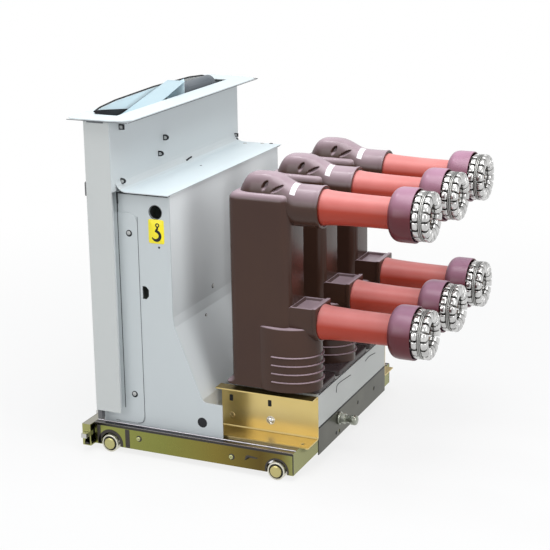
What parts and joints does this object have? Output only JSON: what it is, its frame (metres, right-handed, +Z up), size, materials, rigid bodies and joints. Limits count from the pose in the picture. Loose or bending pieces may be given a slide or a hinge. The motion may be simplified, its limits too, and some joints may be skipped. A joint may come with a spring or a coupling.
{
  "type": "indoor vacuum circuit breaker",
  "caption": "Withdrawable indoor vacuum circuit breaker on a racking truck, with embedded poles, insulated contact arms and spring mechanism housing.",
  "frame": {"origin": "floor level under the middle of the whole object's box at rest", "axes": "+X to the right seen from the operator's panel, +Y from the panel towards the contact arms, +Z up"},
  "size_m": [0.72, 0.877, 0.864],
  "materials": {
    "zinc_chromate": "yellow-green chromated zinc",
    "wheel_steel": "turned steel",
    "beam_zinc": "chromated zinc",
    "bolt_steel": "bright zinc",
    "screw_steel": "ground steel",
    "grey_paint": "light grey powder coat",
    "cover_paint": "light grey powder coat",
    "box_paint": "light grey powder coat",
    "panel_paint": "light grey powder coat",
    "tray_paint": "pale blue paint",
    "plug_plastic": "dark grey moulding",
    "pole_tray_paint": "light grey powder coat",
    "gold_chromate": "gold chromated zinc",
    "rear_zinc": "chromated zinc",
    "earth_steel": "bright zinc",
    "epoxy": "gloss brown epoxy casting",
    "bottle_ceramic": "glazed ceramic",
    "rod_resin": "moulded resin",
    "shaft_steel": "zinc plated",
    "motor_paint": "dark painted casting",
    "charge_steel": "ground steel",
    "close_button_plastic": "green moulding",
    "open_button_plastic": "red moulding",
    "flag_plastic": "printed drum",
    "arm_copper": "silver-plated copper",
    "sleeve_silicone": "red insulating sleeve",
    "collar_epoxy": "mauve resin",
    "contact_silver": "silver-plated copper"
  },
  "bodies": {
    "truck": {"chassis_frame": "zinc_chromate", "side_plate_right": "grey_paint", "side_plate_left": "grey_paint", "housing_back": "cover_paint", "upper_box": "box_paint", "front_panel": "panel_paint", "inner_tray": "tray_paint", "control_plug": "plug_plastic", "pole_tray": "pole_tray_paint", "bracket_right": "gold_chromate", "bracket_left": "gold_chromate", "rear_plate": "rear_zinc", "earth_contact": "earth_steel", "charging_unit": "motor_paint", "pole_right": "epoxy", "pole_middle": "epoxy", "pole_left": "epoxy", "interrupter_right": "bottle_ceramic", "interrupter_middle": "bottle_ceramic", "interrupter_left": "bottle_ceramic", "arm_upper_right": "arm_copper", "arm_upper_middle": "arm_copper", "arm_upper_left": "arm_copper", "arm_lower_right": "arm_copper", "arm_lower_middle": "arm_copper", "arm_lower_left": "arm_copper", "sleeve_upper_right": "sleeve_silicone", "sleeve_upper_middle": "sleeve_silicone", "sleeve_upper_left": "sleeve_silicone", "sleeve_lower_right": "sleeve_silicone", "sleeve_lower_middle": "sleeve_silicone", "sleeve_lower_left": "sleeve_silicone", "collar_upper_right": "collar_epoxy", "collar_upper_middle": "collar_epoxy", "collar_upper_left": "collar_epoxy", "collar_lower_right": "collar_epoxy", "collar_lower_middle": "collar_epoxy", "collar_lower_left": "collar_epoxy", "tulip_upper_right": "contact_silver", "tulip_upper_middle": "contact_silver", "tulip_upper_left": "contact_silver", "tulip_lower_right": "contact_silver", "tulip_lower_middle": "contact_silver", "tulip_lower_left": "contact_silver"},
    "beam": {"front_beam": "beam_zinc"},
    "screw": {"lead_screw": "screw_steel"},
    "bolt_right": {"lock_bolt_right": "bolt_steel"},
    "bolt_left": {"lock_bolt_left": "bolt_steel"},
    "shaft": {"main_shaft": "shaft_steel"},
    "close_button": {"close_button": "close_button_plastic"},
    "open_button": {"open_button": "open_button_plastic"},
    "flag": {"position_flag": "flag_plastic"},
    "charge_shaft": {"charge_shaft": "charge_steel"},
    "rod_right": {"drive_rod_right": "rod_resin"},
    "rod_middle": {"drive_rod_middle": "rod_resin"},
    "rod_left": {"drive_rod_left": "rod_resin"},
    "wheel_front_right": {"wheel_front_right": "wheel_steel"},
    "wheel_front_left": {"wheel_front_left": "wheel_steel"},
    "wheel_rear_right": {"wheel_rear_right": "wheel_steel"},
    "wheel_rear_left": {"wheel_rear_left": "wheel_steel"}
  },
  "joints": [
    {"name": "racking_slide", "type": "slide", "parent": "truck", "child": "beam", "axis": [0, -1, 0], "range_m": [0, 0.2]},
    {"name": "racking_screw", "type": "hinge", "parent": "beam", "child": "screw", "pos_m": [0, -0.4145, 0.042], "axis": [0, 1, 0], "range_deg": [0, 7200]},
    {"name": "lock_bolt_right_pull", "type": "slide", "parent": "beam", "child": "bolt_right", "axis": [-1, 0, 0], "range_m": [0, 0.022], "stiffness_N_per_m": 400, "springref_m": -0.01},
    {"name": "lock_bolt_left_pull", "type": "slide", "parent": "beam", "child": "bolt_left", "axis": [1, 0, 0], "range_m": [0, 0.022], "stiffness_N_per_m": 400, "springref_m": -0.01},
    {"name": "wheel_front_right_roll", "type": "hinge", "parent": "truck", "child": "wheel_front_right", "pos_m": [0.32, -0.3475, 0.022], "axis": [1, 0, 0], "continuous": true},
    {"name": "wheel_front_left_roll", "type": "hinge", "parent": "truck", "child": "wheel_front_left", "pos_m": [-0.32, -0.3475, 0.022], "axis": [1, 0, 0], "continuous": true},
    {"name": "wheel_rear_right_roll", "type": "hinge", "parent": "truck", "child": "wheel_rear_right", "pos_m": [0.32, 0.0965, 0.022], "axis": [1, 0, 0], "continuous": true},
    {"name": "wheel_rear_left_roll", "type": "hinge", "parent": "truck", "child": "wheel_rear_left", "pos_m": [-0.32, 0.0965, 0.022], "axis": [1, 0, 0], "continuous": true},
    {"name": "main_shaft_turn", "type": "hinge", "parent": "truck", "child": "shaft", "pos_m": [0, -0.0325, 0.14], "axis": [1, 0, 0], "range_deg": [0, 10.5]},
    {"name": "drive_rod_right_lift", "type": "slide", "parent": "truck", "child": "rod_right", "axis": [0, 0, 1], "range_m": [0, 0.011]},
    {"name": "drive_rod_middle_lift", "type": "slide", "parent": "truck", "child": "rod_middle", "axis": [0, 0, 1], "range_m": [0, 0.011]},
    {"name": "drive_rod_left_lift", "type": "slide", "parent": "truck", "child": "rod_left", "axis": [0, 0, 1], "range_m": [0, 0.011]},
    {"name": "position_flag_turn", "type": "hinge", "parent": "truck", "child": "flag", "pos_m": [0.06, -0.352, 0.43], "axis": [1, 0, 0], "range_deg": [0, 31.5]},
    {"name": "close_button_press", "type": "slide", "parent": "truck", "child": "close_button", "axis": [0, 1, 0], "range_m": [0, 0.006], "stiffness_N_per_m": 300, "springref_m": -0.003},
    {"name": "open_button_press", "type": "slide", "parent": "truck", "child": "open_button", "axis": [0, 1, 0], "range_m": [0, 0.006], "stiffness_N_per_m": 300, "springref_m": -0.003},
    {"name": "charge_shaft_turn", "type": "hinge", "parent": "truck", "child": "charge_shaft", "pos_m": [-0.06, -0.3865, 0.36], "axis": [0, 1, 0], "continuous": true}
  ],
  "couplings": [
    {"joint": "racking_screw", "follows": "racking_slide", "rad_per_m": 628.32},
    {"joint": "position_flag_turn", "follows": "main_shaft_turn", "ratio": 3},
    {"joint": "drive_rod_right_lift", "follows": "main_shaft_turn", "m_per_rad": 0.06},
    {"joint": "drive_rod_middle_lift", "follows": "main_shaft_turn", "m_per_rad": 0.06},
    {"joint": "drive_rod_left_lift", "follows": "main_shaft_turn", "m_per_rad": 0.06}
  ]
}
